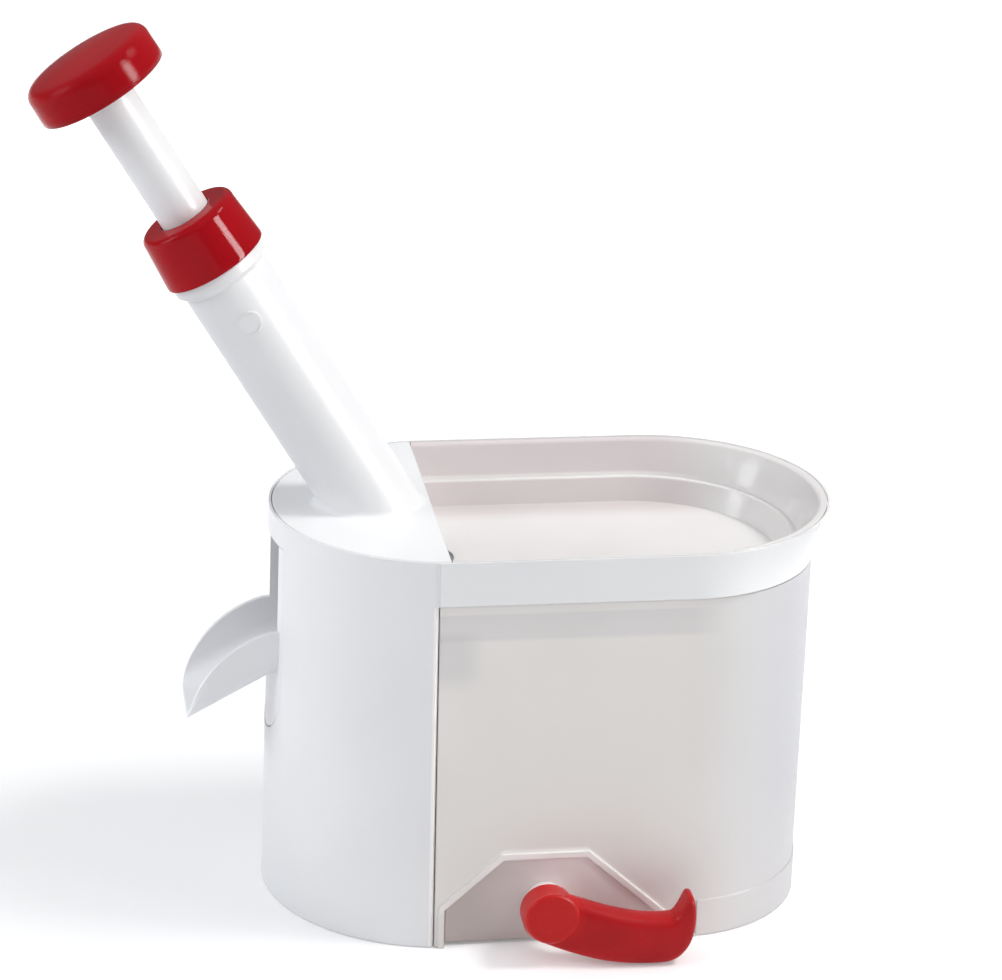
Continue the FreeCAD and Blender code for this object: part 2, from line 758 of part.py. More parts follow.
def trough_section(x, low, inset):
    """Upright U-shaped face with rounded lower corners, at x, reaching well above the rim."""
    half = chute_half - inset
    bend = chute_bend - inset
    turn = 1 - math.sqrt(0.5)
    high = low + chute_half * 3
    edges = [Part.LineSegment(Vector(x, -half, high), Vector(x, -half, low + bend)).toShape(),
             arc(Vector(x, -half, low + bend), Vector(x, -half + bend * turn, low + bend * turn),
                 Vector(x, -half + bend, low)),
             Part.LineSegment(Vector(x, -half + bend, low), Vector(x, half - bend, low)).toShape(),
             arc(Vector(x, half - bend, low), Vector(x, half - bend * turn, low + bend * turn),
                 Vector(x, half, low + bend)),
             Part.LineSegment(Vector(x, half, low + bend), Vector(x, half, high)).toShape(),
             Part.LineSegment(Vector(x, half, high), Vector(x, -half, high)).toShape()]
    return Part.Wire(edges)


def trough_solid(inset, inner_end, tip_x, nose):
    """The trough's two straight runs from tip_x inwards, drawn in by inset."""
    slot_x = tower_x - half_at(chute_slot_z)
    steep = (chute_slot_z - chute_tip_z) / (slot_x - chute_tip_x)
    shallow = (chute_inner_z - chute_slot_z) / (chute_inner_x - slot_x)
    run = inner_end - slot_x
    inner = prism(trough_section(slot_x, chute_slot_z + inset, inset),
                  Vector(run, 0, run * shallow))
    reach = slot_x - tip_x + spare
    outer = prism(trough_section(slot_x, chute_slot_z + inset, inset),
                  Vector(-reach, 0, -reach * steep))
    half = chute_half - inset
    plan = outline(tip_x, inner_end, half, 0, r0=nose)
    return inner.fuse(outer).common(prism(plan, Vector(0, 0, rim_height)))


def under_chute_rim():
    """Everything below the trough's curved rim, seen from the side."""
    slot_x = tower_x - half_at(chute_slot_z)
    rim = Vector(slot_x, 0, chute_rim_z)
    bulge = Vector(chute_bulge_x, 0, chute_bulge_z)
    tip = Vector(chute_tip_x, 0, chute_tip_z + chute_tip_rise)
    inner_rim = Vector(chute_inner_x, 0, chute_rim_z + chute_rim_rise)
    low_tip = Vector(chute_tip_x, 0, 0)
    low_inner = Vector(chute_inner_x, 0, 0)
    edges = [Part.LineSegment(low_inner, low_tip).toShape(),
             Part.LineSegment(low_tip, tip).toShape(),
             arc(tip, bulge, rim),
             Part.LineSegment(rim, inner_rim).toShape(),
             Part.LineSegment(inner_rim, low_inner).toShape()]
    side = prism(Part.Wire(edges), Vector(0, 4 * chute_half, 0))
    side.translate(Vector(0, -2 * chute_half, 0))
    return side


def make_chute():
    trough = trough_solid(0, chute_inner_x, chute_tip_x, chute_nose).common(under_chute_rim())
    panel = slot_wall_layer(panel_set_in, wall + flange_depth).common(slot_prism(-panel_gap))
    flange = slot_wall_layer(wall + flange_gap, wall + flange_depth).common(slot_prism(flange_reach))
    hollow = trough_solid(chute_wall, chute_inner_x + spare, chute_tip_x - spare, 0)
    chute = panel.fuse([flange, trough]).cut(hollow)
    return chute.removeSplitter()


def slot_wall_layer(outer_inset, inner_inset):
    """Layer of the tower's curved wall between two depths, around the slot."""
    layer = tower_block(0, rim_height, outer_inset, divider_x)
    layer = layer.cut(tower_block(0, rim_height, inner_inset, divider_x))
    return layer.common(box(-rim_length, tower_x, -rim_half, rim_half, 0,
                            slot_top + flange_reach - panel_gap))


def arch_prism(grow, half_depth):
    """The arch, grown outwards by grow and reaching below the worktop, from front to back."""
    slope = arch_height / (arch_half_foot - arch_half_top)
    low = -arch_height / 2
    top = arch_height + grow
    top_half = arch_half_top + grow * (math.hypot(1, slope) - 1) / slope
    low_half = top_half + (top - low) / slope
    return plate_xz([(-low_half, low), (-top_half, top), (top_half, top), (low_half, low)],
                    -half_depth, half_depth)


def beside_leg(shape, left):
    """What of a shape lies to the right of the container's leg, which ends at left."""
    return shape.common(box(left, rim_end_x, -2 * rim_half, 2 * rim_half, -arch_height, rim_height))


def foot_screw_places():
    return [(x, y) for x in (-foot_screw_x, foot_screw_x) for y in (-foot_screw_y, foot_screw_y)]


def container_block(inset, z0, z1):
    wires = []
    for z in (z0, z1):
        share = z / container_top
        set_back = container_inset_base + (container_inset_top - container_inset_base) * share
        half = half_at(z, set_back + inset)
        end = container_end_base + (container_end_top - container_end_base) * share - inset
        wires.append(outline(container_left + inset, end, half, z, r1=container_corner - inset))
    return loft(wires)


def make_container():
    outer = container_block(0, 0, container_top)
    inner = container_block(container_wall, container_wall, container_top)
    tunnel = beside_leg(arch_prism(0, base_half + lever_stand_out), arch_left)
    hump = arch_prism(container_wall, base_half + spare)
    bead = beside_leg(arch_prism(arch_bead, base_half + lever_stand_out), arch_left - arch_bead)
    bead = container_block(-arch_bead_height, 0, container_top).common(bead)
    band = container_block(-base_band_out, 0, base_band_height)
    band = band.common(box(base_band_start, rim_end_x, -2 * rim_half, 2 * rim_half, 0, rim_height))
    trim = bead.fuse(band).cut(container_block(bite, 0, container_top))
    body = outer.cut(inner.cut(hump)).fuse(trim).cut(tunnel)
    inner_half = half_at(container_top, container_inset_top + container_wall)
    body = body.cut(box(divider_x, container_left + container_wall, -inner_half, inner_half,
                        left_wall_top, container_top + spare))
    flange_top = container_flange_z + container_flange
    flange = container_block(bite, container_flange_z, flange_top)
    mouth_half = rail_face + rail_gap
    round_x = container_end_base - container_corner
    mouth = box(divider_x, round_x, -mouth_half, mouth_half, container_flange_z, flange_top)
    round_mouth = container_block(container_wall + near, container_flange_z, flange_top)
    round_mouth = round_mouth.common(box(round_x - spare, rim_end_x, -base_half, base_half,
                                         container_flange_z, flange_top))
    body = body.fuse(flange.cut([mouth, round_mouth]))
    for x, y in foot_screw_places():
        boss = Part.makeCylinder(screw_boss, arch_height, Vector(x, y, 0))
        boss = boss.common(arch_prism(screw_boss_height, base_half)).cut(tunnel)
        hole = Part.makeCylinder(screw_radius, arch_height + screw_reach, Vector(x, y, 0))
        body = body.fuse(boss).cut(hole)
    return body.removeSplitter()


def make_foot_housing():
    outer = arch_prism(-foot_gap, foot_half)
    inner = arch_prism(-foot_gap - foot_wall, foot_half - foot_wall)
    shell = outer.cut(inner).common(box(arch_left + foot_gap, rim_end_x, -foot_half, foot_half,
                                        foot_clear, arch_height))
    guide = ring(stem_radius + fit_gap + stem_guide_wall, stem_radius + fit_gap,
                 guide_foot, arch_height - foot_gap)
    bearings = [box(-bearing_half, bearing_half, y - bearing_depth / 2, y + bearing_depth / 2,
                    crank_z - bearing_half, arch_height - foot_gap - bite)
                for y in (-bearing_y, bearing_y)]
    boss = along_y(cylinder(bearing_radius, 0, lever_boss_back - foot_half + foot_wall), 0,
                   floor_gap - lever_boss_back, crank_z)
    boss = boss.common(arch_prism(-foot_gap, base_half + bearing_radius))
    posts = [Part.makeCylinder(post_radius, arch_height, Vector(x, y, post_foot)).common(outer)
             for x, y in foot_screw_places()]
    housing = shell.fuse([guide, boss] + bearings + posts)
    for x, y in foot_screw_places():
        hole = Part.makeCylinder(screw_radius + floor_gap, arch_height, Vector(x, y, 0))
        head_room = Part.makeCylinder(screw_head + floor_gap, screw_seat, Vector(x, y, 0))
        housing = housing.cut([hole, head_room])
    bore = along_y(cylinder(lever_shaft_radius + fit_gap, 0, lever_boss_back + 2 * bearing_y), 0,
                   -lever_boss_back, crank_z)
    return housing.cut(bore).removeSplitter()


def make_foot_screws():
    screws = []
    for x, y in foot_screw_places():
        foot = screw_seat - fit_gap - screw_head_height
        length = arch_height + screw_reach - floor_gap - foot
        head = Part.makeCylinder(screw_head, screw_head_height, Vector(x, y, foot))
        shank = Part.makeCylinder(screw_radius - fit_gap, length, Vector(x, y, foot))
        screw = head.fuse(shank)
        for long_x, long_y in ((screw_slot_half, screw_slot_width), (screw_slot_width, screw_slot_half)):
            screw = screw.cut(box(x - long_x, x + long_x, y - long_y, y + long_y,
                                  foot - spare, foot + screw_slot_depth))
        screws.append(screw)
    return Part.makeCompound(screws)


def make_suction_cup():
    crown = cup_height + cup_thickness
    bond = stem_radius + cup_bond
    neck = neck_radius + fit_gap
    outer = [(cup_radius, 0), (cup_radius, cup_edge), (cup_radius - cup_shoulder, cup_shoulder_z),
             (bond, crown), (neck, crown)]
    inner = [(neck, cup_height), (bond, cup_height),
             (cup_radius - cup_rim - cup_lip, cup_lip), (cup_radius - cup_rim, 0)]
    return turned(outer + inner)


def make_stem():
    """Lifting stem: foot plate under the cup, eye for the crank, guide pin above."""
    crown = cup_height + cup_thickness
    neck = cylinder(neck_radius, cup_height - spare, crown + spare)
    plate = cylinder(stem_radius, cup_height - plate_thickness, cup_height - 2 * fit_gap)
    top_plate = cylinder(stem_radius + stem_collar, crown + 2 * fit_gap, crown + plate_thickness / 2)
    half_depth = crank_width / 2 - crank_gap
    eye = box(-eye_half_width, eye_half_width, -half_depth, half_depth, crown + 2 * fit_gap, eye_top)
    guide_top = arch_height - foot_gap - foot_wall - crank_gap
    guide = cylinder(stem_radius, eye_top - bite, guide_top)
    stem = neck.fuse([plate, top_plate, eye, guide])
    window_x = crank_pin_radius + crank_throw + crank_gap
    pin_z = crank_z + crank_throw
    window = box(-window_x, window_x, -crank_width, crank_width,
                 pin_z - crank_pin_radius - crank_play, pin_z + crank_pin_radius + crank_play)
    return stem.cut(window)


def make_lever_shaft():
    """Shaft from the lever to the rear bearing, with a crank pin through the stem's eye."""
    half = stem_radius + floor_gap
    front = cylinder(lever_shaft_radius, lever_socket - lever_split, -half - bite)
    rear = cylinder(lever_shaft_radius, half + bite, clip_y + clip_thickness + spare)
    pin = cylinder(crank_pin_radius, -half - bite, half + bite)
    pin.translate(Vector(0, -crank_throw, 0))
    cheeks = [cylinder(lever_shaft_radius + crank_throw, start, start + cheek_thickness)
              for start in (-half - cheek_thickness, half)]
    groove = ring(lever_shaft_radius + spare, lever_shaft_radius - clip_depth, clip_y,
                  clip_y + clip_thickness)
    return along_y(front.fuse([rear, pin] + cheeks).cut(groove), 0, 0, crank_z)


def make_shaft_clip():
    inner = lever_shaft_radius - clip_depth + fit_gap
    clip = ring(lever_shaft_radius + clip_reach, inner, clip_y + fit_gap,
                clip_y + clip_thickness - fit_gap)
    mouth = inner * clip_mouth_share
    clip = clip.cut(box(-mouth, mouth, 0, 2 * lever_shaft_radius, clip_y, clip_y + clip_thickness))
    return along_y(clip, 0, 0, crank_z)


def lever_arm():
    """The lever's arm: round root, drooping bar and upturned tip, drawn from the front."""
    droop = math.radians(lever_droop)
    root = lever_height / 2
    outwards = Vector(math.cos(droop), 0, -math.sin(droop))
    across = Vector(math.sin(droop), 0, math.cos(droop))
    top_start = across * root
    low_start = across * -root
    top_end = top_start + outwards * lever_bar_top
    low_end = low_start + outwards * lever_bar_low
    hollow = Vector(lever_reach - lever_hook, 0, lever_hollow_z)
    tip = Vector(lever_reach - lever_tip, 0, lever_tip_z)
    tip_round = Vector(lever_reach - lever_tip * 0.6, 0, lever_tip_z + 0.2)
    tip_right = Vector(lever_reach - lever_tip * 0.4, 0, lever_tip_z - 0.8)
    belly = Vector(lever_reach, 0, lever_belly_z)
    corner = Vector(lever_reach - lever_tip * 0.9, 0, lever_belly_z - lever_height * 0.59)
    heel = Vector(lever_reach - lever_heel, 0, lever_clear - crank_z)
    edges = [arc(low_start, outwards * -root, top_start),
             Part.LineSegment(top_start, top_end).toShape(),
             arc(top_end, hollow, tip),
             arc(tip, tip_round, tip_right),
             Part.LineSegment(tip_right, belly).toShape(),
             arc(belly, corner, heel),
             Part.LineSegment(heel, low_end).toShape(),
             Part.LineSegment(low_end, low_start).toShape()]
    wire = Part.Wire(edges)
    wire.translate(Vector(0, -lever_front, crank_z))
    return prism(wire, Vector(0, lever_front - lever_split + spare, 0))


def make_lever():
    arm = lever_arm()
    boss = along_y(cylinder(lever_boss_radius, 0, lever_split - lever_boss_back), 0, -lever_split,
                   crank_z)
    boss = boss.makeFillet(boss_round, [e for e in boss.Edges if e.BoundBox.YLength < near])
    arm = arm.makeFillet(lever_round, [e for e in arm.Edges if e.BoundBox.YMax < near - lever_front])
    socket = along_y(cylinder(lever_shaft_radius + fit_gap, 0, lever_split - lever_boss_back + spare),
                     0, lever_socket - floor_gap - lever_split, crank_z)
    return arm.fuse(boss).cut(socket)


def write(name, shape):
    solids = shape.Solids
    if not solids or not all(s.isValid() for s in solids):
        raise RuntimeError(name + " isn't a valid solid")
    out = solids[0] if len(solids) == 1 else Part.makeCompound(solids)
    out.exportStep("parts/" + name + ".step")
    size = out.BoundBox
    print(name, len(solids), "solid, volume", round(out.Volume, 1), "mm3, box",
          [round(v, 1) for v in (size.XMin, size.YMin, size.ZMin, size.XMax, size.YMax, size.ZMax)])


os.makedirs("parts", exist_ok=True)
write("housing", make_housing())
write("hopper_tray", make_tray())
write("tube_cover", make_cover())
write("ring_nut", make_ring_nut())
write("guide_bush", make_guide_bush())
write("plunger_shaft", make_shaft())
write("plunger_knob", make_knob())
write("pitting_rod", make_rod())
write("rod_cross_pin", make_cross_pin())
write("return_spring", make_spring())
write("spring_washer", make_spring_washer())
write("stripper_plate", make_stripper())
write("cherry_seat", make_seat())
write("seat_gasket", make_gasket())
write("outlet_chute", make_chute())
write("stone_container", make_container())
write("foot_housing", make_foot_housing())
write("foot_screws", make_foot_screws())
write("suction_cup", make_suction_cup())
write("lifting_stem", make_stem())
write("lever_shaft", make_lever_shaft())
write("shaft_clip", make_shaft_clip())
write("suction_lever", make_lever())
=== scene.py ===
import math

import bmesh
import bpy
from mathutils import Matrix, Vector


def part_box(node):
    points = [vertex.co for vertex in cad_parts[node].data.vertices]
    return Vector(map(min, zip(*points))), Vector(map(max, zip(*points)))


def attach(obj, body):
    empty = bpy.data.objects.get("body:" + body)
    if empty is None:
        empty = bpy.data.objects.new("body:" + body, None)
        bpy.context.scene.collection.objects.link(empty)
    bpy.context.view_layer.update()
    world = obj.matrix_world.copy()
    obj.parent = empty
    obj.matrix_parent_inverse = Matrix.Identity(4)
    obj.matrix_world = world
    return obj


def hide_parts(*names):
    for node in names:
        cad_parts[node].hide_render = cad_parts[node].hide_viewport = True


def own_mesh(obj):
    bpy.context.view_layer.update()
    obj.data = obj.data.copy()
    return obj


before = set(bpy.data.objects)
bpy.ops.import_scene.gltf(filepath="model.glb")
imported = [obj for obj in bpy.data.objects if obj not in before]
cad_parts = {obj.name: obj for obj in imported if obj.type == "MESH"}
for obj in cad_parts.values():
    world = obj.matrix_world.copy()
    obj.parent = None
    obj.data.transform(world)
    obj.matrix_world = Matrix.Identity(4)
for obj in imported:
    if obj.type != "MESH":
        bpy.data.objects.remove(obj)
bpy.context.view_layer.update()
bpy.ops.object.select_all(action="DESELECT")
print("frame loaded:", len(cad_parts), "nodes")


view = {
    "azimuth": -8.898,  # degrees
    "elevation": 20.772,
    "roll": 1.546,
    "distance": 1.2137,
    "target": (-0.009, 0.0, 0.13966),
    "lens": 129.85,
    "sensor": 36,
    "clip": (0.05, 20),
}


def makeCamera(values):
    azimuth, elevation, roll = (math.radians(values[k]) for k in ("azimuth", "elevation", "roll"))
    back = Vector((math.sin(azimuth) * math.cos(elevation),
                   -math.cos(azimuth) * math.cos(elevation), math.sin(elevation)))
    level = Vector((math.cos(azimuth), math.sin(azimuth), 0))
    rise = back.cross(level)
    right = level * math.cos(roll) + rise * math.sin(roll)
    up = rise * math.cos(roll) - level * math.sin(roll)
    turned = Matrix((right, up, back)).transposed().to_4x4()
    turned.translation = Vector(values["target"]) + back * values["distance"]
    data = bpy.data.cameras.new("photoCamera")
    data.lens, data.sensor_width = values["lens"], values["sensor"]
    data.clip_start, data.clip_end = values["clip"]
    camera = bpy.data.objects.new("photoCamera", data)
    bpy.context.scene.collection.objects.link(camera)
    camera.matrix_world = turned
    bpy.context.scene.camera = camera


makeCamera(view)
bpy.context.scene.view_settings.view_transform = "Standard"

lamps = {
    "keyLamp": {
        "place": (0.95, -0.20, 1.30), "aim": (0, 0, 0.12), "size": (0.40, 0.40),
        "power": 12.2, "colour": (1.0, 0.99, 0.97)},
    "leftLamp": {
        "place": (-1.45, -0.12, 0.70), "aim": (0, 0, 0.06), "size": (0.7, 0.7),
        "power": 8.9, "colour": (0.94, 0.97, 1.0)},
    "windowLamp": {  # only seen mirrored, as the bright bars on the red plastic
        "place": (1.13, -0.75, 0.58), "aim": (0, 0, 0.16), "size": (0.36, 0.55),
        "power": 30, "colour": (1.0, 1.0, 1.0), "mirroredOnly": True},
    "sideLamp": {
        "place": (1.13, -0.75, 0.58), "aim": (0, 0, 0.12), "size": (0.22, 0.55),
        "power": 2.9, "colour": (1.0, 1.0, 1.0)},
}


def makeLamp(name, values):
    data = bpy.data.lights.new(name, "AREA")
    data.shape, (data.size, data.size_y) = "RECTANGLE", values["size"]
    data.energy, data.color = values["power"], values["colour"]
    lamp = bpy.data.objects.new(name, data)
    bpy.context.scene.collection.objects.link(lamp)
    away = Vector(values["place"]) - Vector(values["aim"])
    lamp.location = values["place"]
    lamp.rotation_euler = away.to_track_quat("Z", "Y").to_euler()
    lamp.visible_diffuse = not values.get("mirroredOnly", False)


for lampName, lampValues in lamps.items():
    makeLamp(lampName, lampValues)
print("camera and lamps placed")


class Part:  # a socket that takes part in sums
    def __init__(self, finish, socket):
        self.finish, self.socket = finish, socket

    def sum(self, operation, first, second):
        return self.finish.add("ShaderNodeMath", {"operation": operation}, {0: first, 1: second})

    def __add__(self, other): return self.sum("ADD", self, other)
    def __radd__(self, other): return self.sum("ADD", other, self)
    def __sub__(self, other): return self.sum("SUBTRACT", self, other)
    def __rsub__(self, other): return self.sum("SUBTRACT", other, self)
    def __mul__(self, other): return self.sum("MULTIPLY", self, other)
    def __rmul__(self, other): return self.sum("MULTIPLY", other, self)


class Finish:  # one material and its nodes
    def __init__(self, name):
        self.material = bpy.data.materials.new(name)
        self.material.use_nodes = True
        self.tree = self.material.node_tree
        self.tree.nodes.clear()
        self.coordinates = self.add("ShaderNodeTexCoord", output="Object")

    def add(self, kind, settings=None, inputs=None, output=0):
        node = self.tree.nodes.new(kind)
        for key, value in (settings or {}).items():
            setattr(node, key, value)
        for key, value in (inputs or {}).items():
            if isinstance(value, Part):
                self.tree.links.new(value.socket, node.inputs[key])
            else:
                node.inputs[key].default_value = value
        return Part(self, node.outputs[output] if node.outputs else None)

    def noise(self, scale, detail=2.0, rough=0.5, stretch=None, seed=0.0):
        place = self.coordinates
        if stretch:
            place = self.add("ShaderNodeMapping", inputs={0: place, 3: stretch})
        return self.add(
            "ShaderNodeTexNoise", {"noise_dimensions": "4D"},
            {"Vector": place, "W": seed, "Scale": scale, "Detail": detail, "Roughness": rough}, "Fac")

    def mix(self, mask, first, second):
        first, second = ((*c, 1) if isinstance(c, tuple) else c for c in (first, second))
        return self.add("ShaderNodeMix", {"data_type": "RGBA"}, {0: mask, 6: first, 7: second}, 2)

    def span(self, value, low, high, toLow=0.0, toHigh=1.0):  # low..high goes smoothly to toLow..toHigh
        return self.add("ShaderNodeMapRange", {"interpolation_type": "SMOOTHSTEP"},
                        {0: value, 1: low, 2: high, 3: toLow, 4: toHigh})

    def axes(self):
        split = self.add("ShaderNodeSeparateXYZ", inputs={0: self.coordinates})
        outputs = split.socket.node.outputs
        return [Part(self, outputs[i]) for i in range(3)]

    def surface(self, links, constants):
        shader = self.add("ShaderNodeBsdfPrincipled", inputs={**constants, **links})
        self.add("ShaderNodeOutputMaterial", inputs={"Surface": shader})
        return self.material

    def softNormal(self, radius, height, strength, depth=0.0002):  # worn edges and a moulded skin
        skin = {"Strength": strength, "Distance": depth, "Height": height}
        if radius:
            skin["Normal"] = self.add("ShaderNodeBevel", {"samples": 6}, {"Radius": radius})
        return self.add("ShaderNodeBump", inputs=skin)


patchSpan = (0.35, 0.7)  # of a noise, where one shade goes over to the next
grainSpan = (0.3, 0.7)
everywhere = (1.0, 0.9)  # a span that covers the whole part
tubeLean = 0.6128  # x against z along the tube
scuffMarks = {"scale": 60, "detail": 3.0, "rough": 0.6, "stretch": (1, 1, 5), "seed": 3}


def mouldedPlastic(name, values):
    f = Finish(name)
    x, y, z = f.axes()
    clouds = f.noise(values["cloudScale"])
    skin = f.noise(values["skinScale"], rough=0.6)
    scuff = f.noise(**scuffMarks)
    colour = f.mix(f.span(clouds, *patchSpan), values["colour"], values["shade"])
    for paintedPatch in values.get("paintedLightAndShade", ()):  # painted shade where light falls off, and a painted highlight along an edge
        across = f.span(x + z * paintedPatch.get("lean", 0.0), *paintedPatch["x"])
        mask = across * f.span(y, *paintedPatch["y"]) * f.span(z, *paintedPatch["z"])
        colour = f.mix(mask * paintedPatch["depth"], colour, paintedPatch["colour"])
    return f.surface(
        {"Base Color": colour, "Roughness": f.span(scuff, *patchSpan, *values["rough"]),
         "Normal": f.softNormal(values["edge"], skin, values["bump"])},
        {"IOR": values["ior"], "Coat Weight": values["coat"], "Coat Roughness": 0.08})


plastics = {
    "whitePlastic": {
        "colour": (0.87, 0.87, 0.88), "shade": (0.83, 0.83, 0.845), "cloudScale": 14, "skinScale": 1500,
        "rough": (0.32, 0.44), "edge": 0.0005, "bump": 0.08, "ior": 1.38, "coat": 0.0,
        "paintedLightAndShade": [
            # painted highlight along the tower's front edge beside the container
            {"x": (-0.0389, -0.0384), "y": (-0.052, -0.055), "z": (0.1220, 0.1215),
             "colour": (1.0, 0.97, 0.96), "depth": 1.0},
            # painted shade on the left side of the tube and of the white parts above the cover
            {"x": (0.034, 0.010), "lean": tubeLean, "y": everywhere, "z": (0.138, 0.150),
             "colour": (0.64, 0.64, 0.665), "depth": 0.8}]},
    "trayPlastic": {
        "colour": (0.82, 0.80, 0.79), "shade": (0.78, 0.755, 0.745), "cloudScale": 18, "skinScale": 1500,
        "rough": (0.16, 0.26), "edge": 0.0005, "bump": 0.05, "ior": 1.45, "coat": 0.1,
        "paintedLightAndShade": [  # painted shade on the far wall, under and over its ledge, tinged pink as painted bounced light
            {"x": (0.085, 0.055), "y": (0.030, 0.045), "z": (0.1246, 0.1236),
             "colour": (0.62, 0.55, 0.555), "depth": 0.8},
            {"x": (0.080, 0.050), "y": (0.030, 0.050), "z": (0.1252, 0.1262),
             "colour": (0.68, 0.61, 0.62), "depth": 0.85}]},
    "chutePlastic": {
        "colour": (0.90, 0.90, 0.92), "shade": (0.86, 0.86, 0.885), "cloudScale": 22, "skinScale": 1500,
        "rough": (0.28, 0.40), "edge": 0.0, "bump": 0.06, "ior": 1.40, "coat": 0.0},
    "greyPlastic": {
        "colour": (0.42, 0.42, 0.43), "shade": (0.36, 0.36, 0.37), "cloudScale": 30, "skinScale": 1500,
        "rough": (0.35, 0.5), "edge": 0.0003, "bump": 0.1, "ior": 1.45, "coat": 0.0},
    "redPlastic": {
        "colour": (0.40, 0.006, 0.011), "shade": (0.33, 0.005, 0.009), "cloudScale": 26, "skinScale": 1300,
        "rough": (0.05, 0.09), "edge": 0.0006, "bump": 0.02, "ior": 1.16, "coat": 0.0},
    "knobPlastic": {
        "colour": (0.40, 0.007, 0.012), "shade": (0.35, 0.006, 0.010), "cloudScale": 26, "skinScale": 1300,
        "rough": (0.05, 0.09), "edge": 0.0040, "bump": 0.02, "ior": 1.13, "coat": 0.0},
}
finishes = {name: mouldedPlastic(name, values) for name, values in plastics.items()}


def frostedPlastic(name, values):
    f = Finish(name)
    x, y, z = f.axes()
    clouds = f.noise(values["cloudScale"])
    haze = f.noise(values["hazeScale"], detail=3.0, rough=0.6)
    skin = f.noise(values["skinScale"], rough=0.6)
    colour = f.mix(f.span(clouds, *values["cloudSpan"]), values["colour"], values["shade"])
    # towards the right end: painted shade on the container's round end, painted light on the foot panel's right
    # side
    colour = f.mix(f.span(x, *values["endSpan"]), colour, values["endShadeAndLight"])
    front = f.span(y, *values["frontSpan"])
    # painted shade under the tray's skirt, standing in for the tray seen through the wall, and painted shade by the
    # tower's edge under it
    skirtShade = f.span(z, *values["skirtShadeLow"]) * f.span(z, *values["skirtShadeHigh"]) * f.span(x, *values["skirtShadeEnd"]) * front
    colour = f.mix(skirtShade * values["skirtShadeDepth"], colour, values["paintedShadeColour"])
    # painted shade by the tower's edge, just under the skirt
    seen = f.span(x, *values["edgeShadeEnd"]) * f.span(z, *values["edgeShadeLow"]) * f.span(z, *values["edgeShadeHigh"]) * front
    colour = f.mix(seen * values["edgeShadeDepth"], colour, values["paintedShadeColour"])
    colour = f.mix(f.span(z, *values["lowSpan"], values["lowDepth"], 0.0), colour, values["lowColour"])
    # painted highlight on the bead that follows the arch: flat on top, sloping at both sides
    side = f.add("ShaderNodeMath", {"operation": "ABSOLUTE"}, {0: x})
    sloped = f.add("ShaderNodeMath", {"operation": "MAXIMUM"}, {0: side - values["archTop"], 1: 0.0})
    over = z - values["archHeight"] + sloped * values["archSlope"]
    fade = f.span(sloped, *values["beadRun"], 1.0, values["beadFade"])
    beadHighlight = f.span(over, *values["beadLow"]) * f.span(over, *values["beadHigh"]) * front * fade
    colour = f.mix(beadHighlight * values["beadHighlightDepth"], colour, values["beadHighlightColour"])
    return f.surface(
        {"Base Color": colour, "Roughness": f.span(haze, *grainSpan, *values["rough"]),
         "Normal": f.softNormal(values["edge"], skin, values["bump"])},
        {"IOR": values["ior"]})


frostedCommon = {
    "cloudScale": 11, "hazeScale": 420, "skinScale": 1700, "cloudSpan": (0.35, 0.68), "frontSpan": (-0.050, -0.054),
    "skirtShadeLow": (0.1085, 0.1105), "skirtShadeHigh": (0.1190, 0.1180), "skirtShadeEnd": (0.060, 0.045),
    "paintedShadeColour": (0.60, 0.58, 0.60),
    "edgeShadeEnd": (-0.020, -0.030), "edgeShadeLow": (0.090, 0.100), "edgeShadeHigh": (0.114, 0.110), "lowSpan": (0.0, 0.06),
    "archTop": 0.014, "archHeight": 0.031, "archSlope": 0.886,
    "beadLow": (-0.0004, 0.0004), "beadHigh": (0.0042, 0.0026), "beadRun": (0.001, 0.010),
    "rough": (0.34, 0.5), "edge": 0.0007, "bump": 0.12, "ior": 1.42,
}
frosted = {
    "frostedPlastic": {
        **frostedCommon,
        "colour": (0.87, 0.845, 0.82), "shade": (0.81, 0.78, 0.75),
        # the end colour here is painted shade that darkens the round end
        "endShadeAndLight": (0.60, 0.60, 0.63), "endSpan": (0.040, 0.088),
        "skirtShadeDepth": 0.38, "edgeShadeDepth": 0.45, "lowColour": (0.72, 0.68, 0.66), "lowDepth": 0.35,
        "beadHighlightColour": (0.98, 0.95, 0.94), "beadHighlightDepth": 0.7, "beadFade": 0.35},
    # painted shade: the foot panel under the arch is coloured darker than the container it sits nearly flush with
    "shadedFootPlastic": {
        **frostedCommon,
        "colour": (0.54, 0.47, 0.445), "shade": (0.50, 0.43, 0.41),
        "endShadeAndLight": (0.97, 0.94, 0.93), "endSpan": (-0.030, 0.012),
        "skirtShadeDepth": 0.0, "edgeShadeDepth": 0.0, "lowColour": (0.66, 0.60, 0.57), "lowDepth": 0.2,
        "beadHighlightColour": (0.9, 0.9, 0.9), "beadHighlightDepth": 0.0, "beadFade": 1.0},
}
for finishName, finishValues in frosted.items():
    finishes[finishName] = frostedPlastic(finishName, finishValues)


